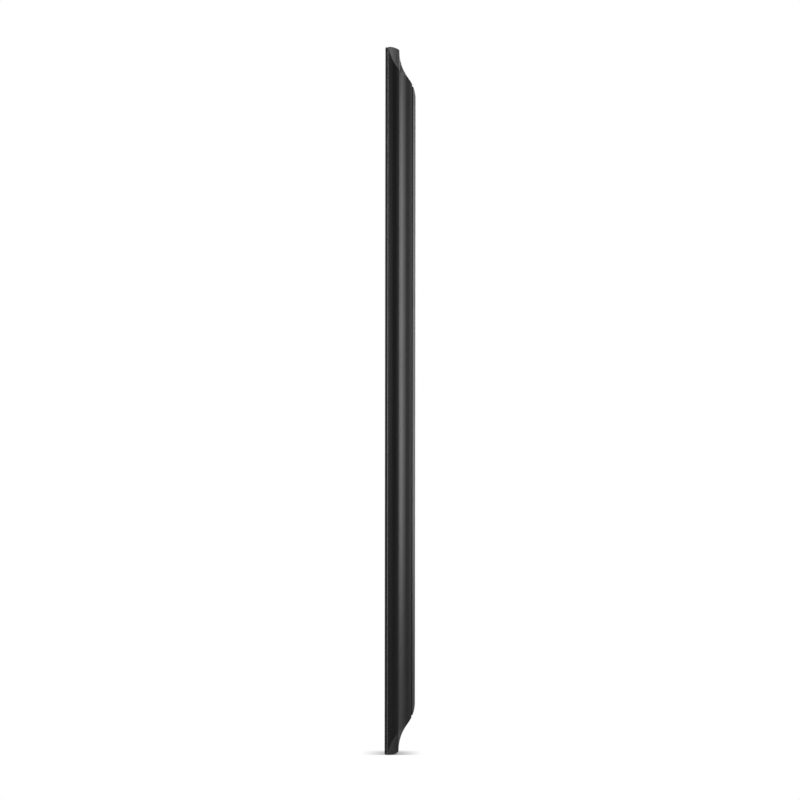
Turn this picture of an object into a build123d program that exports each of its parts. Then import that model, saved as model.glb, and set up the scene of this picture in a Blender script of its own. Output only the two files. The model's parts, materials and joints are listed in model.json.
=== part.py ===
from build123d import *
from math import atan2, cos, degrees, radians, sin, sqrt
import os

# Wall-hung digital photo frame, portrait. All lengths in millimetres.
# The origin is the middle of the flat back, which lies on the wall. The front faces -Y, +Z is up.
# Heights are counted from the wall towards the front.

# Overall size: the picture area, the border round it and the depth
active_width = 267.8
active_height = 476.1
border = 42.0
frame_depth = 24.0

# Front glass and the tape that bonds it to the rim of the shell
glass_thickness = 1.6
glass_inset = 0.4
glass_chamfer = 0.5
tape_thickness = 0.3
tape_inset = 0.7
tape_width = 2.0

# Rear shell: a lip behind the glass, a hollow cove, and a slope up to the flat back
rim_wall = 3.2
rim_chamfer = 0.5
lip_straight = 1.6
lip_depth = 11.1
lip_lean = 32.0
lip_edge_radius = 1.3
lip_flat = 0.7
cove_run = 37.2
cove_share = 0.56
slope_length = 4.2
facet_start = 0.3
facet_reach = 14.3
facet_hollow = 0.8
corner_run = 44.3
corner_share = 0.38
shell_wall = 2.2
flange_thickness = 2.0
window_rim = 6.6
window_radius = 8.0
rib_thickness = 1.4
rib_drop = 4.0
rib_panel_gap = 1.0
rib_pitch = 62.0
side_rib_count = 8
end_rib_count = 5

# Rear cover and the groove round it
cover_plate = 2.1
seam_gap = 0.6
seam_recess = 0.45
seat_corner = 3.0
locating_rib = 1.6
locating_height = 3.0
locating_clearance = 0.4

# Display panel, from the glass towards the back
panel_side_border = 12.2
panel_end_border = 9.75
gasket_thickness = 0.8
gasket_width = 6.0
bezel_sheet = 0.6
bezel_reveal = 1.0
bezel_depth = 5.6
tray_wall = 3.0
cell_border = 4.0
cell_thickness = 1.2
film_thickness = 0.3
guide_thickness = 3.0
reflector_thickness = 0.2
tray_sheet = 0.8
sheet_clearance = 0.2
guide_border = 3.0
light_bar_space = 2.6
light_bar_sheet = 0.8
light_pitch = 16.0
light_length = 5.6
light_depth = 1.0

# Screws
panel_screw_radius = 1.5
panel_head_radius = 2.75
panel_head_height = 1.8
panel_boss_radius = 5.0
panel_boss_inset = 8.7
panel_boss_end = 140.0
cover_screw_radius = 1.5
cover_head_radius = 2.9
cover_screw_length = 9.0
cover_boss_radius = 3.6
cover_boss_height = 8.0
cover_screw_rim = 3.4
cover_screw_end = 75.0
cover_screw_side = 104.0
screw_clearance = 0.15
drive_radius = 1.3
drive_depth = 1.0

# Wall fixing: threaded inserts on a square
wall_pattern = 100.0
insert_bore_radius = 2.0
insert_radius = 3.2
insert_length = 8.0
insert_recess = 0.2
insert_boss_radius = 5.6
press_clearance = 0.02

# Socket bay in the lower half of the back
bay_width = 90.0
bay_rise = 168.0
bay_length = 50.0
bay_depth = 12.0
bay_ramp = 12.0
bay_wall = 1.6
bay_flange = 5.0
bay_flange_thickness = 1.5
socket_clearance = 0.2

# Main board and what it carries
board_width = 150.0
board_height = 95.0
board_thickness = 1.6
board_edge_gap = 0.8
standoff_length = 4.0
standoff_radius = 2.6
standoff_margin = 6.0
board_screw_radius = 1.2
board_head_radius = 2.4
board_head_height = 1.6
shield_size = 46.0
shield_height = 3.2
shield_sheet = 0.3
chip_size = 18.0
chip_height = 1.4
memory_width = 10.0
memory_height = 14.0
memory_pitch = 15.0
header_length = 8.0
header_width = 6.0
header_gap = 0.1
header_edge_gap = 5.0
speaker_header_rise = 16.6
key_header_drop = 15.4
antenna_header_x = 30.0
ribbon_header_length = 20.0

# Sockets on the lower edge of the board
inlet_x = 0.0
inlet_width = 9.0
inlet_height = 6.5
inlet_depth = 14.0
inlet_bore_radius = 2.9
inlet_bore_depth = 10.0
inlet_pin_radius = 1.0
data_x = 27.0
data_width = 14.0
data_height = 6.0
data_depth = 14.0
data_wall = 0.4
data_tongue = 1.8
card_x = -27.0
card_width = 28.0
card_height = 3.4
card_depth = 26.0
card_wall = 0.5

# Timing board low on the panel's back, with its ribbon
timing_width = 140.0
timing_height = 26.0
timing_thickness = 1.2
timing_rise = 45.0
ribbon_thickness = 0.3
ribbon_width = 18.0
ribbon_side_gap = 19.0
ribbon_slack = 0.9
ribbon_bend = 14.0
plug_height = 2.0
plug_depth = 5.0
key_ribbon_width = 7.0

# Speakers behind slots in the cover
speaker_side_gap = 13.0
speaker_end_gap = 11.0
speaker_width = 50.0
speaker_height = 22.0
speaker_depth = 6.5
speaker_gasket = 0.8
speaker_gasket_width = 2.0
cone_margin = 4.0
cone_depth = 2.2
cone_taper = 40.0
speaker_slot_count = 9
speaker_slot_pitch = 4.6
speaker_slot_width = 1.8
speaker_slot_length = 14.0

# Vent slots high on the cover
vent_drop = 84.0
vent_count = 19
vent_pitch = 9.0
vent_width = 2.4
vent_length = 20.0

# Push buttons in a column on the back
button_inset = 64.0
button_rise = 40.0
button_pitch = 17.0
button_names = ["button_power", "button_menu", "button_up", "button_down", "button_select"]
button_radius = 4.0
button_clearance = 0.3
button_dish = 0.4
button_dish_rim = 0.7
dish_taper = 70.0
button_flange_radius = 5.4
button_flange = 0.8
button_rest_gap = 0.1
button_travel = 0.5
button_stop_gap = 0.1
plunger_radius = 1.4
plunger_length = 2.4
switch_size = 6.0
switch_height = 2.4
actuator_radius = 1.6
actuator_height = 1.0
key_board_width = 12.0
key_board_thickness = 1.2
key_post_radius = 2.6
key_screw_radius = 1.0
key_head_radius = 1.9
key_head_height = 1.2

# Antenna and leads
antenna_inset = 38.5
antenna_side = 70.0
antenna_width = 42.0
antenna_height = 9.0
antenna_thickness = 0.8
lead_width = 1.6
lead_thickness = 1.2
lead_hole_radius = 1.3
lead_exit_inset = 17.3
hidden_sides = 8

# Outlines that follow from the sizes above
frame_width = active_width + 2 * border
frame_height = active_height + 2 * border
panel_width = active_width + 2 * panel_side_border
panel_height = active_height + 2 * panel_end_border

# Heights from the wall that follow from the sizes above
glass_back = frame_depth - glass_thickness
rim_level = glass_back - tape_thickness
cove_level = frame_depth - lip_depth
seam_level = cover_plate + seam_gap
flange_front = seam_level + flange_thickness
gasket_back = glass_back - gasket_thickness
bezel_back = gasket_back - bezel_sheet
cell_back = bezel_back - cell_thickness
prism_back = cell_back - film_thickness
diffuser_back = prism_back - film_thickness
guide_back = diffuser_back - guide_thickness
tray_front = guide_back - reflector_thickness
panel_back = tray_front - tray_sheet
board_front = panel_back - standoff_length
board_back = board_front - board_thickness
timing_back = panel_back - timing_thickness

# Section of the back: lip roll, lip edge, flat, cove, slope and crown, each tangent to the next
lip_fall = rim_level - lip_straight - cove_level
lip_sine = sin(radians(lip_lean))
lip_cosine = cos(radians(lip_lean))
lip_radius = (lip_fall - lip_edge_radius * (1 - lip_sine)) / lip_sine
cove_inset = lip_radius * (1 - lip_cosine) + lip_edge_radius * lip_cosine + lip_flat
radius_sum = (cove_run**2 + cove_level**2 - slope_length**2) / (2 * cove_level)
cove_radius = radius_sum * cove_share
crown_radius = radius_sum - cove_radius
slope_sine = radius_sum * cove_run - slope_length * (radius_sum - cove_level)
slope_cosine = radius_sum * (radius_sum - cove_level) + slope_length * cove_run
slope_angle = degrees(atan2(slope_sine, slope_cosine))
flat_inset = cove_inset + cove_run

# Section across a corner: a slightly hollow facet down the lip, then its own cove and crown
facet_fall = rim_level - cove_level
facet_slope = facet_reach / facet_fall
corner_radius_sum = (corner_run**2 + cove_level**2) / (2 * cove_level)
corner_cove_radius = corner_radius_sum * corner_share
corner_crown_radius = corner_radius_sum - corner_cove_radius
corner_angle = degrees(2 * atan2(cove_level, corner_run))
corner_half = (frame_width + frame_height) / sqrt(8)

window_margin = flat_inset + window_rim


def crown_inset(height):
    """How far in from the outer edge the crown has risen to that height"""
    return flat_inset - sqrt(crown_radius**2 - (crown_radius - height) ** 2)


seat_inset = crown_inset(cover_plate) + seam_recess

signs = (-1, 1)

# Section planes: the second axis of each counts from the wall to the front
side_section = Plane(origin=(0, 0, 0), x_dir=(0, 0, 1), z_dir=(1, 0, 0))
top_section = Plane(origin=(0, 0, 0), x_dir=(1, 0, 0), z_dir=(0, 0, -1))
corner_sections = [Plane(origin=(0, 0, 0), x_dir=(1, 0, side), z_dir=(side, 0, -1)) for side in signs]


def level(height):
    """Plane parallel to the wall, that far in front of it, facing the front"""
    return Plane(origin=(0, -height, 0), x_dir=(1, 0, 0), z_dir=(0, -1, 0))


def outer_section(plane, half):
    """Section of the whole back, from the rim to the flat back"""
    with BuildSketch(plane) as section:
        with BuildLine():
            front = Line((0, rim_level), (half - rim_chamfer, rim_level))
            bevel = Line(front @ 1, (half, rim_level - rim_chamfer))
            side = Line(bevel @ 1, (half, rim_level - lip_straight))
            roll = JernArc(side @ 1, (0, -1), lip_radius, -lip_lean)
            edge = JernArc(roll @ 1, roll % 1, lip_edge_radius, lip_lean - 90)
            flat = Line(edge @ 1, (half - cove_inset, cove_level))
            cove = JernArc(flat @ 1, (-1, 0), cove_radius, slope_angle)
            slope = PolarLine(cove @ 1, slope_length, direction=cove % 1)
            crown = JernArc(slope @ 1, slope % 1, crown_radius, -slope_angle)
            Polyline(crown @ 1, (0, 0), (0, rim_level))
        make_face()
        mirror(about=Plane.YZ)
    return section.sketch


def hollow_section(plane, half):
    """Section of the hollow inside the shell, open to the front, down to the flange"""
    inner_level = cove_level + shell_wall
    with BuildSketch(plane) as section:
        with BuildLine():
            mouth = Line((0, frame_depth), (half - rim_wall, frame_depth))
            side = Line(mouth @ 1, (half - rim_wall, inner_level))
            flat = Line(side @ 1, (half - cove_inset, inner_level))
            cove = JernArc(flat @ 1, (-1, 0), cove_radius + shell_wall, slope_angle)
            fall = ((cove @ 1).Y - flange_front) / sin(radians(slope_angle))
            slope = PolarLine(cove @ 1, fall, direction=cove % 1)
            Polyline(slope @ 1, (0, flange_front), (0, frame_depth))
        make_face()
        mirror(about=Plane.YZ)
    return section.sketch


def outer_corner(plane, half):
    """Section of the whole back across two opposite corners"""
    with BuildSketch(plane) as section:
        with BuildLine():
            front = Line((0, rim_level), (half + facet_start, rim_level))
            facet = SagittaArc(front @ 1, (half - facet_reach, cove_level), -facet_hollow)
            cove = JernArc(facet @ 1, (-1, 0), corner_cove_radius, corner_angle)
            crown = JernArc(cove @ 1, cove % 1, corner_crown_radius, -corner_angle)
            Polyline(crown @ 1, (0, 0), (0, rim_level))
        make_face()
        mirror(about=Plane.YZ)
    return section.sketch


def hollow_corner(plane, half):
    """Section of the hollow across two opposite corners, one wall inside the facet"""
    inner_level = cove_level + shell_wall
    inner_half = half - (shell_wall + facet_hollow) * sqrt(1 + facet_slope**2)
    with BuildSketch(plane) as section:
        with BuildLine():
            Polyline(
                (0, flange_front),
                (half, flange_front),
                (half, inner_level),
                (inner_half - facet_slope * (rim_level - inner_level), inner_level),
                (inner_half - facet_slope * (rim_level - frame_depth), frame_depth),
                (0, frame_depth),
                close=True,
            )
        make_face()
        mirror(about=Plane.YZ)
    return section.sketch


def swept_block(section, corner):
    """Block with one section on all four sides, mitred, and another across the corners"""
    with BuildPart() as block:
        sides = section(side_section, frame_height / 2)
        extrude(sides, amount=frame_width / 2, both=True)
        ends = section(top_section, frame_width / 2)
        extrude(ends, amount=frame_height / 2, both=True, mode=Mode.INTERSECT)
        for plane in corner_sections:
            extrude(corner(plane, corner_half), amount=frame_height, both=True, mode=Mode.INTERSECT)
    return block.part


def ring(outer_width, outer_height, inner_width, inner_height):
    """Flat rectangular ring in the present sketch"""
    Rectangle(outer_width, outer_height)
    Rectangle(inner_width, inner_height, mode=Mode.SUBTRACT)


def band(width, height, border):
    """Flat rectangular ring of one border width in the present sketch"""
    ring(width, height, width - 2 * border, height - 2 * border)


outer_block = swept_block(outer_section, outer_corner)
hollow_block = swept_block(hollow_section, hollow_corner)

# Where the screws stand, as points on the back
panel_side_x = panel_width / 2 - panel_boss_inset
panel_side_z = frame_height / 2 - panel_boss_end
panel_end_z = panel_height / 2 - panel_boss_inset
panel_points = [(side * panel_side_x, end * panel_side_z) for side in signs for end in signs]
panel_points += [(0, end * panel_end_z) for end in signs]
cover_side_x = frame_width / 2 - flat_inset - cover_screw_rim
cover_side_z = frame_height / 2 - cover_screw_end
cover_end_x = frame_width / 2 - cover_screw_side
cover_end_z = frame_height / 2 - flat_inset - cover_screw_rim
cover_points = [(side * cover_side_x, row * cover_side_z) for side in signs for row in (-1, 0, 1)]
cover_points += [(side * cover_end_x, end * cover_end_z) for side in signs for end in signs]

# The bay stands above the lower edge, the board above the bay and the buttons beside the board
bay_top = bay_rise - frame_height / 2
bay_middle = bay_top - bay_length / 2
board_low = bay_top + bay_wall + board_edge_gap
board_middle = board_low + board_height / 2
side_header_x = board_width / 2 - header_edge_gap - header_length / 2
header_face = side_header_x + header_length / 2
speaker_header_z = board_low + speaker_header_rise
key_header_z = board_low + board_height - key_header_drop
antenna_header_z = board_low + board_height - header_edge_gap
button_x = frame_width / 2 - button_inset
button_z = key_header_z + button_rise
button_points = [(button_x, button_z + button_pitch * (2 - row)) for row in range(len(button_names))]
speaker_x = frame_width / 2 - window_margin - speaker_side_gap - speaker_width / 2
speaker_z = speaker_end_gap + speaker_height / 2 + window_margin - frame_height / 2
speaker_points = [(side * speaker_x, speaker_z) for side in signs]
ribbon_x = board_width / 2 - ribbon_side_gap
timing_z = timing_rise + timing_height / 2 + panel_end_border - panel_height / 2
vent_z = frame_height / 2 - vent_drop
antenna_x = frame_width / 2 - antenna_side
antenna_z = frame_height / 2 - antenna_inset

# Front glass, a plain sheet with eased edges
with BuildPart() as front_glass:
    with BuildSketch(level(glass_back)):
        Rectangle(frame_width - 2 * glass_inset, frame_height - 2 * glass_inset)
    extrude(amount=glass_thickness)
    chamfer(front_glass.faces().sort_by(Axis.Y)[0].edges(), length=glass_chamfer)

# Bonding tape round the rim
with BuildPart() as glass_tape:
    with BuildSketch(level(rim_level)):
        band(frame_width - 2 * tape_inset, frame_height - 2 * tape_inset, tape_width)
    extrude(amount=tape_thickness)

# Ribs inside the lip and cove of the shell, clear of the panel
with BuildPart() as shell_ribs:
    with BuildSketch(level(flange_front)):
        with GridLocations(rib_pitch, rib_pitch, 1, side_rib_count):
            Rectangle(frame_width, rib_thickness)
        with GridLocations(rib_pitch, rib_pitch, end_rib_count, 1):
            Rectangle(rib_thickness, frame_height)
        Rectangle(panel_width + 2 * rib_panel_gap, panel_height + 2 * rib_panel_gap, mode=Mode.SUBTRACT)
    extrude(amount=rim_level - rib_drop - flange_front)
    add(hollow_block, mode=Mode.INTERSECT)

# Rear shell: the lip, cove and slope, with an inner flange that carries the panel and the cover
with BuildPart() as rear_shell:
    add(outer_block)
    add(hollow_block, mode=Mode.SUBTRACT)
    add(shell_ribs.part)
    with BuildSketch(level(0)):
        Rectangle(frame_width, frame_height)
    extrude(amount=seam_level, mode=Mode.SUBTRACT)
    with BuildSketch(level(flange_front)):
        with Locations(*panel_points):
            RegularPolygon(panel_boss_radius, hidden_sides)
    extrude(amount=panel_back - flange_front)
    with BuildSketch(level(flange_front)):
        with Locations(*cover_points):
            RegularPolygon(cover_boss_radius, hidden_sides)
    extrude(amount=cover_boss_height)
    with BuildSketch(level(seam_level)):
        RectangleRounded(frame_width - 2 * window_margin, frame_height - 2 * window_margin, window_radius)
    extrude(amount=panel_back - seam_level, mode=Mode.SUBTRACT)
    with BuildSketch(level(seam_level)):
        with Locations(*panel_points):
            RegularPolygon(panel_screw_radius + screw_clearance, hidden_sides)
    extrude(amount=panel_back - seam_level, mode=Mode.SUBTRACT)
    with BuildSketch(level(seam_level)):
        with Locations(*panel_points):
            RegularPolygon(panel_head_radius + screw_clearance, hidden_sides)
    extrude(amount=panel_head_height, mode=Mode.SUBTRACT)
    with BuildSketch(level(seam_level)):
        with Locations(*cover_points):
            RegularPolygon(cover_screw_radius + press_clearance, hidden_sides)
    extrude(amount=cover_screw_length, mode=Mode.SUBTRACT)

# Rear cover: a plate with a rounded edge that sits in the back of the shell
insert_top = insert_recess + insert_length
key_board_back = (
    cover_plate + button_rest_gap + button_flange + plunger_length + button_travel + button_stop_gap
    + actuator_height + switch_height
)
key_board_height = button_pitch * (len(button_names) + 1) + 2 * key_post_radius
key_points = [(button_x, button_z + end * button_pitch * (len(button_names) + 1) / 2) for end in signs]
with BuildPart() as rear_cover:
    add(outer_block)
    with BuildSketch(level(cover_plate)):
        Rectangle(frame_width, frame_height)
    extrude(amount=frame_depth, mode=Mode.SUBTRACT)
    with BuildSketch(level(cover_plate)):
        seat_width = frame_width - 2 * seat_inset
        seat_height = frame_height - 2 * seat_inset
        rib_width = frame_width - 2 * (window_margin + locating_clearance)
        rib_height = frame_height - 2 * (window_margin + locating_clearance)
        Rectangle(seat_width, seat_height)
        chamfer(vertices(), length=seat_corner)
        Rectangle(rib_width, rib_height, mode=Mode.SUBTRACT)
    extrude(amount=seam_gap)
    with BuildSketch(level(cover_plate)):
        RectangleRounded(rib_width, rib_height, window_radius)
        offset(amount=-locating_rib, mode=Mode.SUBTRACT)
    extrude(amount=seam_gap + locating_height)
    with BuildSketch(level(cover_plate)):
        with GridLocations(wall_pattern, wall_pattern, 2, 2):
            RegularPolygon(insert_boss_radius, hidden_sides)
    extrude(amount=insert_top - cover_plate)
    with BuildSketch(level(cover_plate)):
        with Locations(*key_points):
            RegularPolygon(key_post_radius, hidden_sides)
    extrude(amount=key_board_back - cover_plate)
    with BuildSketch(level(0)):
        with GridLocations(wall_pattern, wall_pattern, 2, 2):
            Circle(insert_radius + press_clearance)
    extrude(amount=insert_top, mode=Mode.SUBTRACT)
    with BuildSketch(level(cover_plate)):
        with Locations(*key_points):
            RegularPolygon(key_screw_radius, hidden_sides)
    extrude(amount=key_board_back - cover_plate, mode=Mode.SUBTRACT)
    with BuildSketch(level(0)):
        with Locations((0, bay_middle)):
            Rectangle(bay_width, bay_length)
        with Locations(*button_points):
            Circle(button_radius + button_clearance)
        with Locations(*speaker_points):
            with GridLocations(speaker_slot_pitch, speaker_slot_pitch, speaker_slot_count, 1):
                Rectangle(speaker_slot_width, speaker_slot_length)
        with Locations((0, vent_z)):
            with GridLocations(vent_pitch, vent_pitch, vent_count, 1):
                Rectangle(vent_width, vent_length)
        with Locations(*cover_points):
            Circle(cover_screw_radius + screw_clearance)
    extrude(amount=seam_level, mode=Mode.SUBTRACT)
    with BuildSketch(level(0)):
        with Locations(*cover_points):
            Circle(cover_head_radius + screw_clearance)
    extrude(amount=cover_head_radius - cover_screw_radius, taper=45, mode=Mode.SUBTRACT)

# Cover screws: countersunk, driven from the back into the bosses of the shell
with BuildPart() as cover_screws:
    with BuildSketch(level(0)):
        with Locations(*cover_points):
            Circle(cover_head_radius)
    extrude(amount=cover_head_radius - cover_screw_radius, taper=45)
    with BuildSketch(level(cover_head_radius - cover_screw_radius)):
        with Locations(*cover_points):
            RegularPolygon(cover_screw_radius, hidden_sides)
    extrude(amount=cover_screw_length)
    with BuildSketch(level(0)):
        with Locations(*cover_points):
            RegularPolygon(drive_radius, 6)
    extrude(amount=drive_depth, mode=Mode.SUBTRACT)

# Threaded inserts for the wall bracket, flush in the bosses of the cover
with BuildPart() as wall_inserts:
    with BuildSketch(level(insert_recess)):
        with GridLocations(wall_pattern, wall_pattern, 2, 2):
            Circle(insert_radius)
            Circle(insert_bore_radius, mode=Mode.SUBTRACT)
    extrude(amount=insert_length)

# Foam gasket between the glass and the panel
window_width = active_width + 2 * bezel_reveal
window_height = active_height + 2 * bezel_reveal
with BuildPart() as panel_gasket:
    with BuildSketch(level(gasket_back)):
        band(window_width + 2 * gasket_width, window_height + 2 * gasket_width, gasket_width)
    extrude(amount=gasket_thickness)

# Panel bezel: a folded sheet frame over the front of the panel
with BuildPart() as panel_bezel:
    with BuildSketch(level(gasket_back - bezel_depth)):
        band(panel_width, panel_height, bezel_sheet)
    extrude(amount=bezel_depth)
    with BuildSketch(level(bezel_back)):
        ring(panel_width, panel_height, window_width, window_height)
    extrude(amount=bezel_sheet)

# Liquid crystal cell, resting on the moulded frame
with BuildPart() as lcd_cell:
    with BuildSketch(level(cell_back)):
        Rectangle(active_width + 2 * cell_border, active_height + 2 * cell_border)
    extrude(amount=cell_thickness)

# Light sheets between the cell and the light guide
guide_room_width = active_width + 2 * guide_border
guide_room_height = active_height + 2 * guide_border
sheet_width = guide_room_width - 2 * sheet_clearance
sheet_height = guide_room_height - 2 * sheet_clearance
with BuildPart() as prism_sheet:
    with BuildSketch(level(prism_back)):
        Rectangle(sheet_width, sheet_height)
    extrude(amount=film_thickness)

with BuildPart() as diffuser_sheet:
    with BuildSketch(level(diffuser_back)):
        Rectangle(sheet_width, sheet_height)
    extrude(amount=film_thickness)

# Light guide, with the light bar along one long edge
with BuildPart() as light_guide:
    with BuildSketch(level(guide_back)):
        with Locations((light_bar_space / 2, 0)):
            Rectangle(sheet_width - light_bar_space, sheet_height)
    extrude(amount=guide_thickness)

light_count = int((sheet_height - light_length) / light_pitch) + 1
with BuildPart() as light_bar:
    with BuildSketch(level(guide_back)):
        with Locations((-sheet_width / 2, 0)):
            Rectangle(light_bar_sheet, sheet_height, align=(Align.MIN, Align.CENTER))
        with Locations((-sheet_width / 2 + light_bar_sheet, 0)):
            with GridLocations(light_pitch, light_pitch, 1, light_count):
                Rectangle(light_depth, light_length, align=(Align.MIN, Align.CENTER))
    extrude(amount=guide_thickness)

with BuildPart() as reflector_sheet:
    with BuildSketch(level(tray_front)):
        Rectangle(sheet_width, sheet_height)
    extrude(amount=reflector_thickness)

# Panel tray: the folded sheet back of the panel, screwed to the shell
tray_width = panel_width - 2 * (bezel_sheet + sheet_clearance)
tray_height = panel_height - 2 * (bezel_sheet + sheet_clearance)
lead_exit = (lead_exit_inset - tray_width / 2, key_header_z)
with BuildPart() as panel_tray:
    with BuildSketch(level(panel_back)):
        Rectangle(tray_width, tray_height)
        with Locations(*panel_points):
            RegularPolygon(panel_screw_radius + press_clearance, hidden_sides, mode=Mode.SUBTRACT)
        with Locations(lead_exit):
            RegularPolygon(lead_hole_radius, hidden_sides, mode=Mode.SUBTRACT)
    extrude(amount=tray_sheet)
    with BuildSketch(level(tray_front)):
        band(tray_width, tray_height, tray_sheet)
    extrude(amount=tray_wall)

# Moulded frame that holds the light guide and carries the cell
with BuildPart() as panel_frame:
    with BuildSketch(level(tray_front)):
        frame_fit = 2 * (tray_sheet + sheet_clearance)
        ring(tray_width - frame_fit, tray_height - frame_fit, guide_room_width, guide_room_height)
    extrude(amount=cell_back - tray_front)

# Panel screws: from the back, through the bosses of the shell, into the tray
with BuildPart() as panel_screws:
    with BuildSketch(level(seam_level + screw_clearance)):
        with Locations(*panel_points):
            RegularPolygon(panel_head_radius, hidden_sides)
    extrude(amount=panel_head_height - screw_clearance)
    with BuildSketch(level(seam_level + panel_head_height)):
        with Locations(*panel_points):
            RegularPolygon(panel_screw_radius, hidden_sides)
    extrude(amount=tray_front - screw_clearance - seam_level - panel_head_height)
    with BuildSketch(level(seam_level + screw_clearance)):
        with Locations(*panel_points):
            RegularPolygon(drive_radius, 6)
    extrude(amount=drive_depth, mode=Mode.SUBTRACT)

# Socket bay: a moulded pocket behind the opening in the cover, with a ramp for the plugs' leads
socket_rows = {
    "inlet": (inlet_x, inlet_width, inlet_height),
    "data": (data_x, data_width, data_height),
    "card": (card_x, card_width, card_height),
}


def bay_section(margin):
    """Side section of the bay's pocket, grown by a margin"""
    with BuildSketch(side_section) as section:
        with BuildLine():
            Polyline(
                (bay_top, 0),
                (bay_top, bay_depth),
                (bay_top - bay_length + bay_ramp, bay_depth),
                (bay_top - bay_length, 0),
                close=True,
            )
        make_face()
        if margin:
            offset(amount=margin, kind=Kind.INTERSECTION)
    return section.sketch


with BuildPart() as connector_bay:
    extrude(bay_section(bay_wall), amount=bay_width / 2 + bay_wall, both=True)
    with BuildSketch(level(cover_plate)):
        with Locations((0, bay_middle)):
            Rectangle(bay_width + 2 * bay_flange, bay_length + 2 * bay_flange)
    extrude(amount=bay_flange_thickness)
    with BuildSketch(level(cover_plate)):
        Rectangle(frame_width, frame_height)
    extrude(amount=-frame_depth, mode=Mode.SUBTRACT)
    extrude(bay_section(0), amount=bay_width / 2, both=True, mode=Mode.SUBTRACT)
    for socket_x, socket_width, socket_height in socket_rows.values():
        with BuildSketch(Plane.XY.offset(bay_top)):
            with Locations((socket_x, -board_back + socket_height / 2)):
                Rectangle(socket_width + 2 * socket_clearance, socket_height + 2 * socket_clearance)
        extrude(amount=bay_flange, mode=Mode.SUBTRACT)

# Main board on standoffs behind the panel
standoff_points = [
    (side * (board_width / 2 - standoff_margin), board_middle + end * (board_height / 2 - standoff_margin))
    for side in signs
    for end in signs
]
with BuildPart() as board_standoffs:
    with BuildSketch(level(board_front)):
        with Locations(*standoff_points):
            RegularPolygon(standoff_radius, hidden_sides)
            RegularPolygon(board_screw_radius + press_clearance, hidden_sides, mode=Mode.SUBTRACT)
    extrude(amount=standoff_length)

with BuildPart() as main_board:
    with BuildSketch(level(board_back)):
        with Locations((0, board_middle)):
            Rectangle(board_width, board_height)
        with Locations(*standoff_points):
            RegularPolygon(board_screw_radius + screw_clearance, hidden_sides, mode=Mode.SUBTRACT)
    extrude(amount=board_thickness)

with BuildPart() as board_screws:
    with BuildSketch(level(board_back - board_head_height)):
        with Locations(*standoff_points):
            RegularPolygon(board_head_radius, hidden_sides)
    extrude(amount=board_head_height)
    with BuildSketch(level(board_back)):
        with Locations(*standoff_points):
            RegularPolygon(board_screw_radius, hidden_sides)
    extrude(amount=board_thickness + standoff_length - screw_clearance)

# Processor and memory under the shield can
with BuildPart() as board_chips:
    with BuildSketch(level(board_back - chip_height)):
        with Locations((0, board_middle)):
            Rectangle(chip_size, chip_size)
        for side in signs:
            with Locations((side * memory_pitch, board_middle)):
                Rectangle(memory_width, memory_height)
    extrude(amount=chip_height)

with BuildPart() as shield_can:
    with BuildSketch(level(board_back - shield_height)):
        with Locations((0, board_middle)):
            RectangleRounded(shield_size, shield_size, shield_sheet * 4)
    extrude(amount=shield_height)
    with BuildSketch(level(board_back)):
        with Locations((0, board_middle)):
            Rectangle(shield_size - 2 * shield_sheet, shield_size - 2 * shield_sheet)
    extrude(amount=shield_sheet - shield_height, mode=Mode.SUBTRACT)

# Plug headers on the front of the board, facing the panel
ribbon_header_z = board_low + header_width / 2
header_points = [(side * side_header_x, speaker_header_z) for side in signs]
header_points += [(side * side_header_x, key_header_z) for side in signs]
header_points += [(antenna_header_x, antenna_header_z)]
with BuildPart() as board_headers:
    with BuildSketch(level(board_front)):
        with Locations(*header_points):
            Rectangle(header_length, header_width)
        with Locations((ribbon_x, ribbon_header_z)):
            Rectangle(ribbon_header_length, header_width)
    extrude(amount=standoff_length - header_gap)


def socket_mouth(socket_x, socket_height):
    """Plane of the bay's upper wall at one socket, looking up into the socket"""
    middle = (socket_x, -board_back + socket_height / 2, bay_top)
    return Plane(origin=middle, x_dir=(1, 0, 0), z_dir=(0, 0, 1))


# Power inlet for a round plug
with BuildPart() as power_inlet:
    with BuildSketch(socket_mouth(inlet_x, inlet_height)):
        Rectangle(inlet_width, inlet_height)
    extrude(amount=inlet_depth)
    with BuildSketch(socket_mouth(inlet_x, inlet_height)):
        Circle(inlet_bore_radius)
        Circle(inlet_pin_radius, mode=Mode.SUBTRACT)
    extrude(amount=inlet_bore_depth, mode=Mode.SUBTRACT)

# Data socket with its tongue
with BuildPart() as data_socket:
    with BuildSketch(socket_mouth(data_x, data_height)):
        Rectangle(data_width, data_height)
    extrude(amount=data_depth)
    with BuildSketch(socket_mouth(data_x, data_height)):
        Rectangle(data_width - 2 * data_wall, data_height - 2 * data_wall)
        with Locations((0, data_tongue / 2)):
            Rectangle(data_width - 6 * data_wall, data_tongue, mode=Mode.SUBTRACT)
    extrude(amount=data_depth - 3 * data_wall, mode=Mode.SUBTRACT)

# Memory card socket
with BuildPart() as card_socket:
    with BuildSketch(socket_mouth(card_x, card_height)):
        Rectangle(card_width, card_height)
    extrude(amount=card_depth)
    with BuildSketch(socket_mouth(card_x, card_height)):
        Rectangle(card_width - 4 * card_wall, card_height - 2 * card_wall)
    extrude(amount=card_depth - 4 * card_wall, mode=Mode.SUBTRACT)

# Timing board on the panel's back, and the ribbon that feeds it
ribbon_level = (board_front + panel_back) / 2
timing_top = timing_z + timing_height / 2
with BuildPart() as timing_board:
    with BuildSketch(level(timing_back)):
        with Locations((0, timing_z)):
            Rectangle(timing_width, timing_height)
    extrude(amount=timing_thickness)
    with BuildSketch(level(timing_back - plug_height)):
        with Locations((ribbon_x, timing_top - plug_depth / 2)):
            Rectangle(ribbon_width + 2 * plug_height, plug_depth)
        with Locations((0, timing_z)):
            Rectangle(chip_size, chip_size)
    extrude(amount=plug_height)

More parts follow.
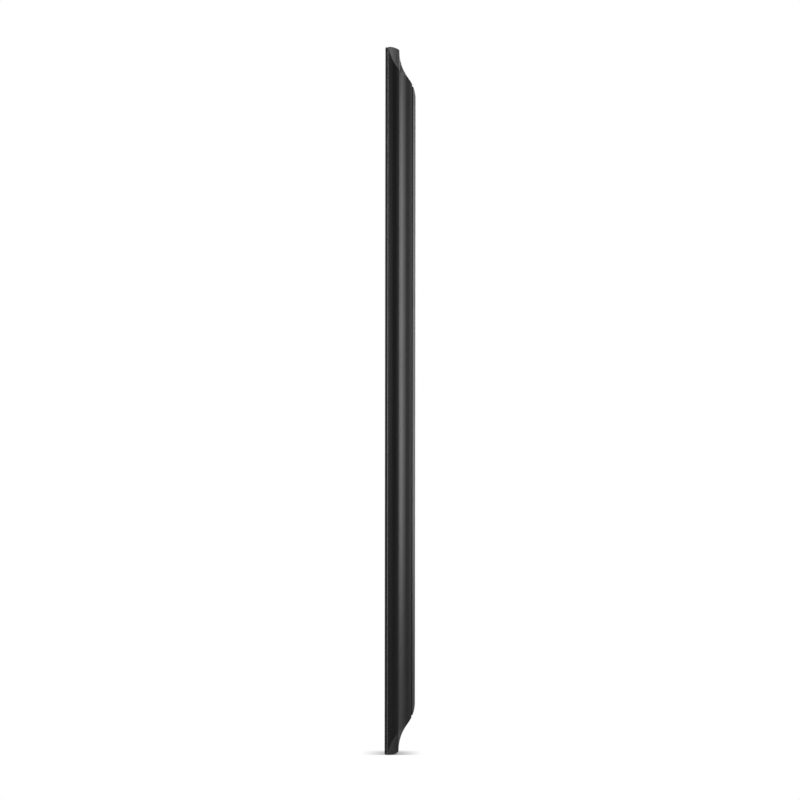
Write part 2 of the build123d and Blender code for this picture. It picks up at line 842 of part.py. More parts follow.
with BuildPart() as panel_ribbon:
    with BuildSketch(Plane(origin=(ribbon_x, 0, 0), x_dir=(0, 0, 1), z_dir=(1, 0, 0))):
        with BuildLine():
            Polyline(
                (board_low, ribbon_level),
                (board_low - ribbon_bend / 4, ribbon_level),
                (board_low - ribbon_bend, ribbon_level - ribbon_slack),
                (timing_top + ribbon_bend, ribbon_level - ribbon_slack),
                (timing_top + ribbon_bend / 4, ribbon_level),
                (timing_top, ribbon_level),
            )
        trace(line_width=ribbon_thickness)
    extrude(amount=ribbon_width / 2, both=True)

# Speakers on soft gaskets behind the slots of the cover
speaker_back = cover_plate + speaker_gasket
speaker_front = speaker_back + speaker_depth
with BuildPart() as speaker_gaskets:
    with BuildSketch(level(cover_plate)):
        with Locations(*speaker_points):
            band(speaker_width, speaker_height, speaker_gasket_width)
    extrude(amount=speaker_gasket)


def speaker(side):
    """Closed speaker box with a dished cone on the side that faces the slots"""
    with BuildPart() as box:
        with BuildSketch(level(speaker_back)):
            with Locations((side * speaker_x, speaker_z)):
                RectangleRounded(speaker_width, speaker_height, speaker_gasket_width)
        extrude(amount=speaker_depth)
        with BuildSketch(level(speaker_back)):
            with Locations((side * speaker_x, speaker_z)):
                SlotOverall(speaker_width - 2 * cone_margin, speaker_height - 2 * cone_margin)
        extrude(amount=cone_depth, taper=cone_taper, mode=Mode.SUBTRACT)
    return box


speaker_left = speaker(-1)
speaker_right = speaker(1)

# Key board on two posts of the cover, with one switch behind each button
with BuildPart() as key_board:
    with BuildSketch(level(key_board_back)):
        with Locations((button_x, button_z)):
            Rectangle(key_board_width, key_board_height)
        with Locations(*key_points):
            RegularPolygon(key_screw_radius + screw_clearance, hidden_sides, mode=Mode.SUBTRACT)
    extrude(amount=key_board_thickness)

key_board_front = key_board_back + key_board_thickness
with BuildPart() as key_screws:
    with BuildSketch(level(key_board_front)):
        with Locations(*key_points):
            RegularPolygon(key_head_radius, hidden_sides)
    extrude(amount=key_head_height)
    with BuildSketch(level(cover_plate + screw_clearance)):
        with Locations(*key_points):
            RegularPolygon(key_screw_radius - press_clearance, hidden_sides)
    extrude(amount=key_board_front - cover_plate - screw_clearance)

with BuildPart() as key_switches:
    with BuildSketch(level(key_board_back - switch_height)):
        with Locations(*button_points):
            Rectangle(switch_size, switch_size)
    extrude(amount=switch_height)
    with BuildSketch(level(key_board_back - switch_height - actuator_height)):
        with Locations(*button_points):
            RegularPolygon(actuator_radius, hidden_sides)
    extrude(amount=actuator_height)

with BuildPart() as key_ribbon:
    with BuildSketch(Plane(origin=(0, 0, key_header_z), x_dir=(1, 0, 0), z_dir=(0, 0, -1))):
        with BuildLine():
            key_ribbon_level = key_board_front + ribbon_thickness / 2
            key_board_edge = button_x - key_board_width / 2
            Polyline(
                (button_x, key_ribbon_level),
                (key_board_edge - ribbon_bend / 2, key_ribbon_level),
                (header_face + ribbon_bend / 2, ribbon_level),
                (header_face, ribbon_level),
            )
        trace(line_width=ribbon_thickness)
    extrude(amount=key_ribbon_width / 2, both=True)


def push_button(point):
    """Round button: a dished cap, a flange behind the cover and a plunger to the switch"""
    flange_back = cover_plate + button_rest_gap
    with BuildPart() as button:
        with BuildSketch(level(0)):
            with Locations(point):
                Circle(button_radius)
        extrude(amount=flange_back)
        with BuildSketch(level(flange_back)):
            with Locations(point):
                RegularPolygon(button_flange_radius, hidden_sides)
        extrude(amount=button_flange)
        with BuildSketch(level(flange_back + button_flange)):
            with Locations(point):
                RegularPolygon(plunger_radius, hidden_sides)
        extrude(amount=plunger_length)
        with BuildSketch(level(0)):
            with Locations(point):
                Circle(button_radius - button_dish_rim)
        extrude(amount=button_dish, taper=dish_taper, mode=Mode.SUBTRACT)
    return button


# Wireless antenna, stuck to the flange of the shell above the panel
with BuildPart() as wifi_antenna:
    with BuildSketch(level(flange_front)):
        with Locations((antenna_x, antenna_z)):
            Rectangle(antenna_width, antenna_height)
    extrude(amount=antenna_thickness)

# Flat leads, laid along the back of the panel, each with one end turned to what it feeds
lead_level = panel_back - header_gap - lead_thickness


def lead(points, end_level):
    """Flat lead along points on the panel's back, with its last end turned to that height"""
    with BuildPart() as wire:
        with BuildSketch(level(lead_level)):
            with BuildLine():
                Polyline(*points)
            trace(line_width=lead_width)
        extrude(amount=lead_thickness)
        with BuildSketch(level(lead_level)):
            with Locations(points[-1]):
                Rectangle(lead_width, lead_width)
        extrude(amount=end_level - lead_level)
    return wire


header_top = antenna_header_z + header_width / 2
antenna_lead = lead(
    [(antenna_header_x, header_top), (antenna_header_x, vent_z), (antenna_x, vent_z), (antenna_x, antenna_z)],
    flange_front + antenna_thickness,
)
backlight_lead = lead([(-header_face, key_header_z), lead_exit], tray_front)
with BuildPart() as speaker_leads:
    for side in signs:
        corner = (side * speaker_x, speaker_header_z)
        route = [(side * header_face, speaker_header_z), corner, (side * speaker_x, speaker_z)]
        add(lead(route, speaker_front).part)

pieces = {
    "front_glass": front_glass,
    "glass_tape": glass_tape,
    "panel_gasket": panel_gasket,
    "panel_bezel": panel_bezel,
    "lcd_cell": lcd_cell,
    "prism_sheet": prism_sheet,
    "diffuser_sheet": diffuser_sheet,
    "light_guide": light_guide,
    "light_bar": light_bar,
    "reflector_sheet": reflector_sheet,
    "panel_frame": panel_frame,
    "panel_tray": panel_tray,
    "panel_screws": panel_screws,
    "rear_shell": rear_shell,
    "rear_cover": rear_cover,
    "cover_screws": cover_screws,
    "wall_inserts": wall_inserts,
    "connector_bay": connector_bay,
    "main_board": main_board,
    "board_standoffs": board_standoffs,
    "board_screws": board_screws,
    "board_chips": board_chips,
    "shield_can": shield_can,
    "board_headers": board_headers,
    "power_inlet": power_inlet,
    "data_socket": data_socket,
    "card_socket": card_socket,
    "timing_board": timing_board,
    "panel_ribbon": panel_ribbon,
    "backlight_lead": backlight_lead,
    "speaker_left": speaker_left,
    "speaker_right": speaker_right,
    "speaker_gaskets": speaker_gaskets,
    "speaker_leads": speaker_leads,
    "key_board": key_board,
    "key_switches": key_switches,
    "key_screws": key_screws,
    "key_ribbon": key_ribbon,
    "wifi_antenna": wifi_antenna,
    "antenna_lead": antenna_lead,
}
for button_name, button_point in zip(button_names, button_points):
    pieces[button_name] = push_button(button_point)

os.makedirs("parts", exist_ok=True)
for name, piece in pieces.items():
    piece.part.label = name
    export_step(piece.part, f"parts/{name}.step")
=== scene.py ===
import json
from math import cos, pi, radians, sin

import bmesh
import bpy
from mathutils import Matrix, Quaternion, Vector


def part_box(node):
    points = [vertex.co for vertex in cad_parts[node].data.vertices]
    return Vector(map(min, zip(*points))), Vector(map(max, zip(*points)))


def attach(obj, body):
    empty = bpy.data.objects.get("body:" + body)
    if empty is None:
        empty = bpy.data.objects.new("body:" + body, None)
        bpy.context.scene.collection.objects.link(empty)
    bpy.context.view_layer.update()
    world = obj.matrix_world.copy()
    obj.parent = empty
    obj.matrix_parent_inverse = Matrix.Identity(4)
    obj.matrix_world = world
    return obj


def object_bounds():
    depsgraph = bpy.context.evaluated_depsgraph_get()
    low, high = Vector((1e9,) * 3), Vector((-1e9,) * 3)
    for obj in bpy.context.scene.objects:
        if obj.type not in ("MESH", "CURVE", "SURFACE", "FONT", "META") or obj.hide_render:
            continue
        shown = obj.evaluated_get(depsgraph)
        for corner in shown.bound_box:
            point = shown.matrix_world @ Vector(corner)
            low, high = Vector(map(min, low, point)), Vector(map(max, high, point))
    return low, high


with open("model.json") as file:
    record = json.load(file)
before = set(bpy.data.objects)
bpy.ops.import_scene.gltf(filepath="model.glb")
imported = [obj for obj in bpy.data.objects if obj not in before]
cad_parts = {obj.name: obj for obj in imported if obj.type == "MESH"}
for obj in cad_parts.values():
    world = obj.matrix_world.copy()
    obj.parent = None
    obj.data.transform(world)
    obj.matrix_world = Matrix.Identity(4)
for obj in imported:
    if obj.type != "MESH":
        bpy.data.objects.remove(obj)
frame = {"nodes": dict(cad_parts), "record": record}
nodes = frame["nodes"]
cad_low, cad_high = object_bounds()


# Rear shell. One moulding of black plastic that runs round all four sides: a lip behind the glass, a hollow
# cove and a slope up to the flat back. It is finely etched, so satin. Its rim at the glass carries a painted
# highlight, a lighter half-metal band, and painted shade darkens and dulls its back edge at the cover seam.
class Wire:
    """A shader socket that joins in Python sums. Each sum adds its Math node."""

    def __init__(self, tree, socket=None):
        self.tree = tree
        self.socket = socket

    def add(self, kind, settings, sockets, output=0):
        """Adds a node of any kind: its settings first, then the values or wires of its sockets."""
        node = self.tree.nodes.new(kind)
        for name, value in settings.items():
            setattr(node, name, value)
        for name, value in sockets.items():
            if isinstance(value, Wire):
                self.tree.links.new(value.socket, node.inputs[name])
            else:
                node.inputs[name].default_value = value
        return Wire(self.tree, node.outputs[output] if len(node.outputs) else None)

    def sum(self, operation, first, second=0.0):
        """Adds the Math node of one operation on numbers or wires."""
        return self.add("ShaderNodeMath", {"operation": operation}, {0: first, 1: second})

    def __add__(self, other):
        return self.sum("ADD", self, other)

    __radd__ = __add__

    def __sub__(self, other):
        return self.sum("SUBTRACT", self, other)

    def __rsub__(self, other):
        return self.sum("SUBTRACT", other, self)

    def __mul__(self, other):
        return self.sum("MULTIPLY", self, other)

    __rmul__ = __mul__

    def __lt__(self, other):
        return self.sum("LESS_THAN", self, other)

    def __gt__(self, other):
        return self.sum("GREATER_THAN", self, other)

    def __abs__(self):
        return self.sum("ABSOLUTE", self)

    def at_least(self, other):
        """The higher of this wire and another one, or a number."""
        return self.sum("MAXIMUM", self, other)

    def at_most(self, other):
        """The lower of this wire and another one, or a number."""
        return self.sum("MINIMUM", self, other)

    def mix(self, first, second):
        """Colour between two colours, with this wire as the share of the second."""
        return self.add("ShaderNodeMix", {"data_type": "RGBA"}, {0: self, 6: first, 7: second}, 2)

    def along(self, axis):
        """One coordinate of a place on the object."""
        return self.add("ShaderNodeSeparateXYZ", {}, {"Vector": self}, axis)

    def noise(self, size, detail=2.0, stretch=(1, 1, 1)):
        """Noise from 0 to 1 over the object, with features of that size in metres."""
        place = self.add("ShaderNodeMapping", {}, {"Vector": self, "Scale": stretch})
        return self.add("ShaderNodeTexNoise", {}, {"Vector": place, "Scale": 1 / size, "Detail": detail})

    def cells(self, size):
        """Distance to the middle of the nearest cell, for cells of that size in metres."""
        return self.add("ShaderNodeTexVoronoi", {}, {"Vector": self, "Scale": 1 / size})

    def stripes(self, axis, pitch):
        """Waves from 0 to 1 across one axis of the object, that far apart in metres."""
        radians_per_metre = 20
        scale = 2 * pi / (radians_per_metre * pitch)
        settings = {"wave_type": "BANDS", "bands_direction": axis}
        return self.add("ShaderNodeTexWave", settings, {"Vector": self, "Scale": scale}, "Fac")

    def bump(self, height, depth):
        """Surface normal for a relief of that depth in metres."""
        return self.add("ShaderNodeBump", {}, {"Height": height, "Distance": depth, "Strength": 1.0})


def new_material(name):
    """An empty node material, and the object's own coordinates as a wire."""
    material = bpy.data.materials.new(name)
    material.use_nodes = True
    material.node_tree.nodes.clear()
    return material, Wire(material.node_tree).add("ShaderNodeTexCoord", {}, {}, "Object")


def shade(place, sockets):
    """Ends a material with one surface shader that has those sockets."""
    surface = place.add("ShaderNodeBsdfPrincipled", {}, sockets)
    place.add("ShaderNodeOutputMaterial", {}, {"Surface": surface})


def dress(material, *names):
    """Gives the material to those pieces of the frame."""
    for name in names:
        for slot in nodes[name].material_slots:
            slot.material = material


def grey(level):
    """Neutral colour of that level."""
    return (level, level, level, 1.0)


def etched(place, dark, light, grain_size):
    """Colour, flow and grain of etched plastic: a slow drift as the melt flowed and a fine even grain."""
    flow = place.noise(size=0.05, detail=3.0)
    grain = place.noise(size=grain_size, detail=3.0)
    return (0.5 * flow + 0.5 * grain).mix(dark, light), flow, grain


shell_low, shell_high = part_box("rear_shell")
rim_highlight_width = 0.0003
rim_highlight_grey = grey(0.25)
seam_shade_reach = 0.00015
seam_shade_grey = grey(0.003)
shell_plastic, place = new_material("shell_plastic")
colour, flow, grain = etched(place, dark=grey(0.005), light=grey(0.008), grain_size=0.0005)
# Painted highlight: a lighter, half-metal band along the rim at the glass.
painted_rim_highlight = place.along("Y") < shell_low.y + rim_highlight_width
# Painted shade: the shell's back edge beside the cover seam is darker and matt.
painted_seam_shade = place.along("Y") > shell_high.y - seam_shade_reach
shade(place, {
    "Base Color": painted_seam_shade.mix(painted_rim_highlight.mix(colour, rim_highlight_grey), seam_shade_grey),
    "Metallic": 0.5 * painted_rim_highlight,
    "Roughness": 0.33 + 0.08 * flow + 0.55 * painted_seam_shade,
    "Normal": place.bump(grain, depth=0.000003),
})
dress(shell_plastic, "rear_shell")


# Display panel. A folded steel tray and bezel hold the sheets that spread the light, a clear light guide,
# a white moulded frame and the liquid crystal cell. The steel is zinc-plated, with the coating's spangle.
sheet_steel, place = new_material("sheet_steel")
spangle = place.cells(size=0.009)
rolling = place.noise(size=0.0007, stretch=(1, 1, 0.03))
shade(place, {
    "Base Color": spangle.mix(grey(0.5), grey(0.4)),
    "Metallic": 1.0,
    "Roughness": 0.51 + 0.1 * rolling,
    "Normal": place.bump(rolling, depth=0.000004),
})
dress(sheet_steel, "panel_tray", "panel_bezel")

light_film, place = new_material("light_film")
prisms = place.stripes("X", pitch=0.0004)
shade(place, {
    "Base Color": place.noise(size=0.03).mix(grey(0.8), grey(0.86)),
    "Roughness": 0.3 + 0.1 * prisms,
    "Normal": place.bump(prisms, depth=0.00001),
})
dress(light_film, "prism_sheet", "diffuser_sheet", "reflector_sheet")

dot_pitch = 0.0016
dot_reach = 0.28
clear_acrylic = (0.74, 0.79, 0.79, 1)
guide_acrylic, place = new_material("guide_acrylic")
dots = place.cells(size=dot_pitch) < dot_reach
shade(place, {
    "Base Color": dots.mix(clear_acrylic, grey(0.92)),
    "Roughness": 0.08 + 0.4 * dots,
})
dress(guide_acrylic, "light_guide")


def moulding(name, dark, light, roughness, grain_size, grain_depth):
    """Moulded plastic with an etched grain, a little uneven in colour and gloss."""
    material, place = new_material(name)
    colour, flow, grain = etched(place, dark, light, grain_size)
    shade(place, {
        "Base Color": colour,
        "Roughness": roughness - 0.04 + 0.08 * flow,
        "Normal": place.bump(grain, grain_depth),
    })
    return material


white_mould = moulding("white_mould", dark=grey(0.76), light=(0.82, 0.82, 0.8, 1), roughness=0.45,
                       grain_size=0.0006, grain_depth=0.000004)
dress(white_mould, "panel_frame", "board_headers")

cell_dark = (0.012, 0.012, 0.015, 1)
cell_light = (0.016, 0.017, 0.02, 1)
cell_glass, place = new_material("cell_glass")
shade(place, {
    "Base Color": place.stripes("X", pitch=0.00025).mix(cell_dark, cell_light),
    "Roughness": 0.1 + 0.05 * place.noise(size=0.02),
})
dress(cell_glass, "lcd_cell")


# Foam and tape. Black foam keeps dust off the panel and seals the speakers, and black tape bonds the glass.
# Both are cut from sheet, so their cells show.
def foam(name, cell_size, roughness):
    """Cut black foam with open cells."""
    material, place = new_material(name)
    cells = place.cells(cell_size)
    shade(place, {
        "Base Color": cells.mix(grey(0.008), grey(0.022)),
        "Roughness": roughness - 0.08 * place.noise(size=0.004),
        "Normal": place.bump(cells, depth=cell_size / 6),
    })
    return material


dress(foam("foam", cell_size=0.0007, roughness=0.95), "panel_gasket", "speaker_gaskets")
dress(foam("tape", cell_size=0.0003, roughness=0.8), "glass_tape")


# Screws. Steel plated black, so bright only where the tool has rubbed. Ten countersunk ones lie flush in the
# cover, and others fix the panel in the shell, the main board on standoffs and the key board on posts.
screw_steel, place = new_material("screw_steel")
rubbed = place.noise(size=0.0012, detail=4.0)
shade(place, {
    "Base Color": rubbed.mix(grey(0.035), grey(0.11)),
    "Metallic": 0.85,
    "Roughness": 0.5 - 0.2 * rubbed,
    "Normal": place.bump(place.noise(size=0.0003), depth=0.000005),
})
dress(screw_steel, "cover_screws", "panel_screws", "board_screws", "key_screws")


# Circuit boards. Fibreglass with a green mask over copper tracks: main board, timing board, key board, light
# bar and antenna. The chips are black mouldings and a plated can covers the processor.
weave_pitch = 0.0008
mask_green = (0.012, 0.11, 0.045, 1)
track_green = (0.03, 0.22, 0.1, 1)
circuit_board, place = new_material("circuit_board")
weave = place.stripes("X", weave_pitch) * place.stripes("Z", weave_pitch)
upright = place.add("ShaderNodeMapping", {}, {"Vector": place, "Rotation": (radians(90), 0, 0)})
track_layout = {"Vector": upright, "Scale": 60.0, "Mortar Size": 0.03, "Brick Width": 0.9, "Row Height": 0.16}
tracks = place.add("ShaderNodeTexBrick", {"offset": 0.37, "squash": 0.6}, track_layout, "Fac")
shade(place, {
    "Base Color": tracks.mix(mask_green, track_green),
    "Roughness": 0.32 + 0.1 * weave,
    "Normal": place.bump(tracks, depth=0.00003),
})
dress(circuit_board, "main_board", "timing_board", "key_board", "light_bar", "wifi_antenna")

black_mould = moulding("black_mould", dark=grey(0.012), light=grey(0.018), roughness=0.5,
                       grain_size=0.0004, grain_depth=0.000006)
dress(black_mould, "board_chips", "key_switches", "speaker_left", "speaker_right")


def plating(name, colour, worn, roughness, axis, pitch):
    """Plated or turned metal, with fine tool marks across one axis."""
    material, place = new_material(name)
    marks = place.stripes(axis, pitch)
    stain = place.noise(size=0.006, detail=3.0)
    shade(place, {
        "Base Color": stain.mix(colour, worn),
        "Metallic": 1.0,
        "Roughness": roughness - 0.06 + 0.12 * stain,
        "Normal": place.bump(marks, depth=0.000004),
    })
    return material


socket_metal = plating("socket_metal", colour=grey(0.66), worn=(0.58, 0.57, 0.55, 1), roughness=0.28,
                       axis="X", pitch=0.0003)
dress(socket_metal, "shield_can", "card_socket")


# Sockets. The power inlet is a black moulding with a plated pin in its bore, and the data socket a plated
# shell with a black tongue that carries four gilt contacts. Both stand on the main board's lower edge.
inlet_low, inlet_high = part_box("power_inlet")
inlet_middle = (inlet_low + inlet_high) / 2
pin_reach = 0.0012
pin_grey = grey(0.62)
inlet_mould, place = new_material("inlet_mould")
colour, flow, grain = etched(place, dark=grey(0.012), light=grey(0.018), grain_size=0.0004)
across = place.along("X") - inlet_middle.x
deep = place.along("Y") - inlet_middle.y
on_pin = across * across + deep * deep < pin_reach**2
shade(place, {
    "Base Color": on_pin.mix(colour, pin_grey),
    "Metallic": on_pin,
    "Roughness": 0.46 + 0.08 * flow - 0.2 * on_pin,
    "Normal": place.bump(grain, depth=0.000006),
})
dress(inlet_mould, "power_inlet")

data_low, data_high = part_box("data_socket")
data_middle = (data_low + data_high) / 2
tongue_half = 0.00585
tongue_top = 0.00185
tongue_grey = grey(0.015)
contact_pitch = 0.0025
contact_half = 0.0005
contact_gilt = (0.8, 0.6, 0.25, 1)
data_metal, place = new_material("data_metal")
across = place.along("X") - data_middle.x
deep = place.along("Y") - data_middle.y
on_tongue = (abs(across) < tongue_half) * (abs(deep - tongue_top / 2) < tongue_top / 2)
contacts = on_tongue * (abs(abs(abs(across) - contact_pitch) - contact_pitch / 2) < contact_half)
stain = place.noise(size=0.006, detail=3.0)
plated = stain.mix(grey(0.66), grey(0.57))
shade(place, {
    "Base Color": contacts.mix(on_tongue.mix(plated, tongue_grey), contact_gilt),
    "Metallic": 1 - on_tongue + contacts,
    "Roughness": 0.24 + 0.1 * stain,
})
dress(data_metal, "data_socket")


# Wall inserts and standoffs, turned from brass. The inserts are pressed into bosses of the cover, almost
# flush, and each has a metric thread for the screws of a wall bracket.
brass = plating("brass", colour=(0.72, 0.53, 0.24, 1), worn=(0.6, 0.42, 0.18, 1), roughness=0.3,
                axis="Y", pitch=0.0004)
dress(brass, "wall_inserts", "board_standoffs")
insert_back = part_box("wall_inserts")[1].y
pattern = next(mount["dims"] for mount in frame["record"]["mounts"] if mount["name"] == "wall_pattern")
mm = 0.001
pattern_half = pattern["spacing_x_mm"] * mm / 2
bore_radius = pattern["hole_r_mm"] * mm
thread_pitch = 0.0007
thread_turns = 9
thread_height = 0.00034
turn_steps = 20
root_bite = 0.00003
root_radius = bore_radius + root_bite
crest_radius = bore_radius - thread_height
thread_section = ((root_radius, 0.05), (crest_radius, 0.5), (root_radius, 0.95))
thread_start = insert_back - thread_pitch / 2
thread_mesh = bmesh.new()
for x in (-pattern_half, pattern_half):
    for z in (-pattern_half, pattern_half):
        section = [thread_mesh.verts.new((x + radius, thread_start - share * thread_pitch, z))
                   for radius, share in thread_section]
        flanks = [thread_mesh.edges.new((section[i - 1], section[i])) for i in range(len(section))]
        bmesh.ops.spin(thread_mesh, geom=section + flanks, cent=(x, 0, z), axis=(0, 1, 0),
                       dvec=(0, -thread_pitch / turn_steps, 0), angle=-2 * pi * thread_turns,
                       steps=thread_turns * turn_steps)
bmesh.ops.holes_fill(thread_mesh, edges=thread_mesh.edges, sides=3)
bmesh.ops.recalc_face_normals(thread_mesh, faces=thread_mesh.faces)
thread_data = bpy.data.meshes.new("insert_threads")
thread_mesh.to_mesh(thread_data)
thread_mesh.free()
thread_data.materials.append(brass)
insert_threads = bpy.data.objects.new("insert_threads", thread_data)
bpy.context.scene.collection.objects.link(insert_threads)
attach(insert_threads, "frame")


# Ribbons and leads. White polyester ribbons with flat conductors run to the timing board and the key board,
# and soft black leads to the speakers, the light bar and the antenna.
def ribbon(name, axis):
    """White film over flat conductors that lie side by side across one axis."""
    film_white = (0.78, 0.77, 0.73, 1)
    conductor_grey = (0.6, 0.58, 0.52, 1)
    material, place = new_material(name)
    conductors = place.stripes(axis, pitch=0.001)
    shade(place, {
        "Base Color": conductors.mix(film_white, conductor_grey),
        "Roughness": 0.35 + 0.1 * place.noise(size=0.004),
        "Normal": place.bump(conductors, depth=0.00004),
    })
    return material


dress(ribbon("panel_ribbon_film", "X"), "panel_ribbon")
dress(ribbon("key_ribbon_film", "Z"), "key_ribbon")
lead_black = moulding("lead_black", dark=grey(0.01), light=grey(0.02), roughness=0.6,
                      grain_size=0.0004, grain_depth=0.00002)
dress(lead_black, "backlight_lead", "speaker_leads", "antenna_lead")


# Socket bay. A matt black pocket in the back, open to the rear, with the sockets in its upper wall so that
# plugs stay inside the depth of the frame.
bay_plastic = moulding("bay_plastic", dark=grey(0.009), light=grey(0.014), roughness=0.55,
                       grain_size=0.0007, grain_depth=0.00002)
dress(bay_plastic, "connector_bay")


# Rear cover. A flat moulded plate in the back of the shell, with a rounded edge, vents, speaker slots and
# holes for the buttons and the sockets. Ten screws hold it. A groove parts it from the shell, and painted
# shade makes the cover's edge at the groove dark and matt.
groove_slack = 0.00001
groove_shade_width = 0.00065
groove_shade_grey = grey(0.004)
cover_plastic, place = new_material("cover_plastic")
colour, flow, grain = etched(place, dark=grey(0.026), light=grey(0.035), grain_size=0.0009)
behind_shell = place.along("Y") - shell_high.y
# Painted shade: a dark matt band where the cover meets the shell, in and beside the groove.
painted_groove_shade = (behind_shell > -groove_slack) * (behind_shell < groove_shade_width)
shade(place, {
    "Base Color": painted_groove_shade.mix(colour, groove_shade_grey),
    "Roughness": 0.32 + 0.06 * flow + 0.6 * painted_groove_shade,
    "Normal": place.bump(grain, depth=0.000008),
})
dress(cover_plastic, "rear_cover")


# Push buttons. Five dished caps in a column on the back, moulded smoother than the cover around them. Each
# has a plain sign printed in grey in its dish: a ring and bar, three bars, two arrows and a dot.
line_half = 0.00022
sign_half = 0.0018


def power_sign(across, up):
    """Open ring with a bar in its gap."""
    bar_middle = 0.0013
    bar_half = 0.0011
    spread = across * across + up * up
    ring = (spread < (sign_half + line_half) ** 2) - (spread < (sign_half - line_half) ** 2)
    gap = (abs(across) < 3 * line_half) * (up > 0.0)
    bar = (abs(across) < line_half) * (abs(up - bar_middle) < bar_half)
    return ring * (1 - gap) + bar


def menu_sign(across, up):
    """Three bars, one above the other."""
    row_step = 0.0011
    middle_bar = abs(up) < line_half
    outer_bars = abs(abs(up) - row_step) < line_half
    return (middle_bar + outer_bars) * (abs(across) < sign_half)


def up_sign(across, up):
    """Filled triangle that points up."""
    foot = -0.0011
    tip = 0.0014
    flank_slope = 1.3
    return (up > foot) * (up + flank_slope * abs(across) < tip)


def down_sign(across, up):
    """Filled triangle that points down."""
    return up_sign(across, up * -1)


def select_sign(across, up):
    """Filled dot."""
    dot_radius = 0.0012
    return across * across + up * up < dot_radius**2


signs = {"button_power": power_sign, "button_menu": menu_sign, "button_up": up_sign,
         "button_down": down_sign, "button_select": select_sign}
print_grey = grey(0.32)
for name, sign in signs.items():
    button_low, button_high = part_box(name)
    button_middle = (button_low + button_high) / 2
    button_plastic, place = new_material(name)
    colour, flow, grain = etched(place, dark=grey(0.010), light=grey(0.014), grain_size=0.0005)
    on_cap = place.along("Y") > button_middle.y
    printed = on_cap * sign(place.along("X") - button_middle.x, place.along("Z") - button_middle.z)
    shade(place, {
        "Base Color": printed.mix(colour, print_grey),
        "Roughness": 0.24 + 0.06 * flow + 0.15 * printed,
        "Normal": place.bump(grain, depth=0.000003),
    })
    dress(button_plastic, name)


# Front glass. A polished sheet over the whole front with ground edges, bonded to the rim with tape. A black
# print on its back leaves a window for the picture, which is dark while the frame is off.
cell_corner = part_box("lcd_cell")[1]
glass_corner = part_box("front_glass")[1]
window_inset = 0.004
edge_skin = 0.0001
ground_edge = (0.011, 0.013, 0.012, 1)
black_print = grey(0.003)
dark_window = (0.016, 0.017, 0.021, 1)
cover_glass, place = new_material("cover_glass")
sideways = abs(place.along("X"))
endways = abs(place.along("Z"))
window = (sideways < cell_corner.x - window_inset) * (endways < cell_corner.z - window_inset)
polished = (sideways < glass_corner.x - edge_skin) * (endways < glass_corner.z - edge_skin)
shade(place, {
    "Base Color": window.mix(polished.mix(ground_edge, black_print), dark_window),
    "Roughness": 0.45 - 0.4 * polished + 0.03 * place.noise(size=0.05),
})
dress(cover_glass, "front_glass")


# Studio floor. A disc under the frame, white to the eye and darker only where the frame shuts out the light.
# To all other light it is grey paint that thins out towards its edge, so it throws little light back up.
floor_radius = 2.4
shadow_reach = 0.02
shadow_depth = 0.95
shadow_middle = 0.07
shadow_half = 0.27
floor_mesh = bmesh.new()
bmesh.ops.create_circle(floor_mesh, cap_ends=True, radius=floor_radius, segments=96)
bmesh.ops.translate(floor_mesh, verts=floor_mesh.verts, vec=(0, 0, cad_low.z))
floor_data = bpy.data.meshes.new("studio_floor")
floor_mesh.to_mesh(floor_data)
floor_mesh.free()
floor = bpy.data.objects.new("studio_floor", floor_data)
bpy.context.scene.collection.objects.link(floor)
floor_paint, place = new_material("floor_paint")
openness = place.add("ShaderNodeAmbientOcclusion", {"samples": 16}, {"Distance": shadow_reach}, "AO")
off_middle = (place.along("X") - shadow_middle) * (1 / shadow_half)
fade = (1 - off_middle * off_middle).at_least(0.0)
white = place.add("ShaderNodeEmission", {}, {"Strength": 1 - shadow_depth * (1 - openness) * fade})
paint = place.add("ShaderNodeBsdfDiffuse", {}, {"Color": grey(0.4)})
clear = place.add("ShaderNodeBsdfTransparent", {}, {})
flat = place.add("ShaderNodeVectorMath", {"operation": "MULTIPLY"}, {0: place, 1: (1, 1, 0)})
outward = place.add("ShaderNodeVectorMath", {"operation": "LENGTH"}, {0: flat}, "Value") * (1 / floor_radius)
thinned = place.add("ShaderNodeMixShader", {}, {0: outward, 1: paint, 2: clear})
seen = place.add("ShaderNodeLightPath", {}, {}, "Is Camera Ray")
floor_surface = place.add("ShaderNodeMixShader", {}, {0: seen, 1: thinned, 2: white})
place.add("ShaderNodeOutputMaterial", {}, {"Surface": floor_surface})
floor_data.materials.append(floor_paint)


# Studio surroundings. They are white to the eye, through glass and in what the front glass mirrors. Dark
# screens stand at the sides and behind, so the black plastic there mirrors only a dim level and the lamps.
screened_level = 0.1
received_level = 0.3
front_start = 0.25
front_ramp = 2.0
world = bpy.data.worlds.new("studio")
bpy.context.scene.world = world
world.use_nodes = True
world.node_tree.nodes.clear()
sky = Wire(world.node_tree)
direction = sky.add("ShaderNodeTexCoord", {}, {}, "Generated")
in_front = ((direction.along("Y") + front_start) * -front_ramp).at_least(0.0).at_most(1.0)
seen = sky.add("ShaderNodeLightPath", {}, {}, "Is Camera Ray")
through = sky.add("ShaderNodeLightPath", {}, {}, "Is Transmission Ray")
mirrored = sky.add("ShaderNodeLightPath", {}, {}, "Is Glossy Ray")
shown = screened_level + (1 - screened_level) * in_front
lit = received_level + (shown - received_level) * mirrored
level = seen.at_least(through).at_least(lit)
glow = sky.add("ShaderNodeBackground", {}, {"Color": grey(1.0), "Strength": level})
sky.add("ShaderNodeOutputWorld", {}, {"Surface": glow})


# Studio lamps. Soft boxes that the camera doesn't see, all turned to the middle of the frame's right side.
# Most draw the soft bands on that side, and the rear and left ones light the back and the far side.
side_middle = Vector((cad_high.x, (cad_low.y + cad_high.y) / 2, (cad_low.z + cad_high.z) / 2))


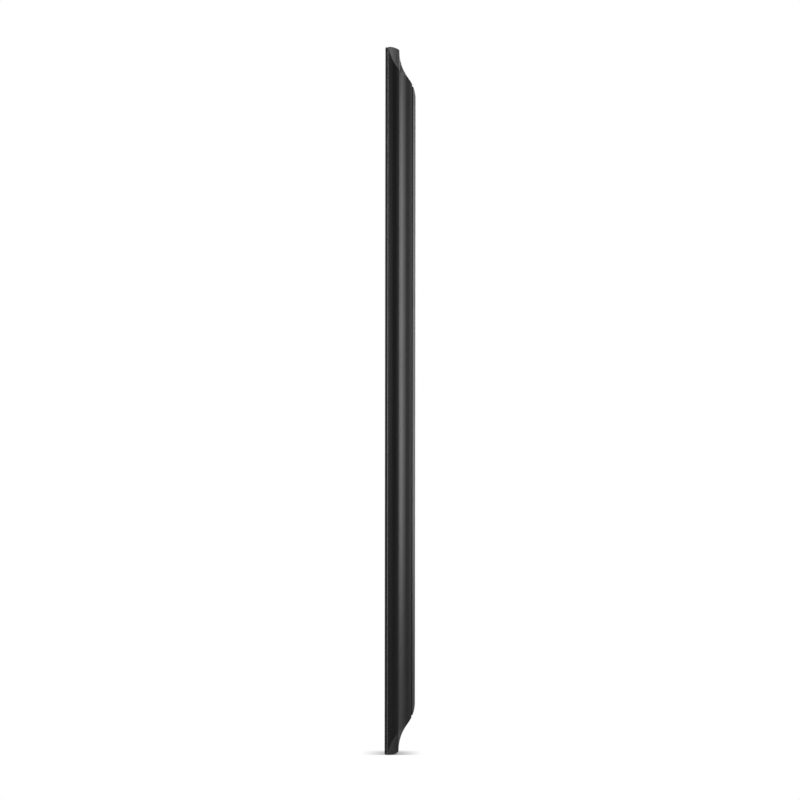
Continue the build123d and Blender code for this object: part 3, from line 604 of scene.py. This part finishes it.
def softbox(name, bearing, rise, distance, width, height, radiance):
    """Soft lamp turned to the right side. Its bearing goes from straight out towards the back, in degrees."""
    lamp = bpy.data.lights.new(name, "AREA")
    lamp.shape = "RECTANGLE"
    lamp.size = width
    lamp.size_y = height
    lamp.energy = radiance * width * height * pi
    stand = bpy.data.objects.new(name, lamp)
    away = Vector((cos(radians(bearing)) * cos(radians(rise)), sin(radians(bearing)) * cos(radians(rise)),
                   sin(radians(rise))))
    stand.location = side_middle + away * distance
    stand.rotation_mode = "QUATERNION"
    stand.rotation_quaternion = away.to_track_quat("Z", "Y")
    stand.visible_camera = False
    bpy.context.scene.collection.objects.link(stand)


softbox("back_box", bearing=136, rise=2.5, distance=1.2, width=0.6, height=0.42, radiance=1.55)
softbox("crest_box", bearing=134, rise=24, distance=1.4, width=0.5, height=0.3, radiance=1.5)
softbox("side_box", bearing=-4, rise=5, distance=0.9, width=0.18, height=0.25, radiance=4.6)
softbox("wall_box", bearing=65, rise=3, distance=1.2, width=0.28, height=0.4, radiance=1.9)
softbox("front_box", bearing=-80, rise=4, distance=1.2, width=0.28, height=0.36, radiance=5.0)
softbox("top_box", bearing=30, rise=80, distance=2.0, width=1.2, height=1.2, radiance=1.2)
softbox("rear_box", bearing=92, rise=52, distance=1.6, width=1.0, height=0.8, radiance=6.0)
softbox("left_box", bearing=176, rise=3, distance=1.5, width=0.5, height=0.5, radiance=2.4)


# Camera. It looks square at the right side from far away, so the side is drawn almost without perspective,
# and it is rolled a little, as the photograph is.
lens = 1500.0
sensor = 36.0
picture_width = 0.6326
sideways_offset = -0.0001
upward_offset = 0.0007
roll = Quaternion((0, 0, 1), radians(0.07))
middle = (cad_low + cad_high) / 2
distance = picture_width * lens / sensor
camera_data = bpy.data.cameras.new("camera")
camera_data.lens = lens
camera_data.sensor_width = sensor
camera_data.clip_end = 100.0
camera = bpy.data.objects.new("camera", camera_data)
camera.location = (cad_high.x + distance, middle.y + sideways_offset, middle.z + upward_offset)
camera.rotation_mode = "QUATERNION"
camera.rotation_quaternion = Vector((1, 0, 0)).to_track_quat("Z", "Y") @ roll
bpy.context.scene.collection.objects.link(camera)
bpy.context.scene.camera = camera
bpy.context.scene.view_settings.view_transform = "Standard"
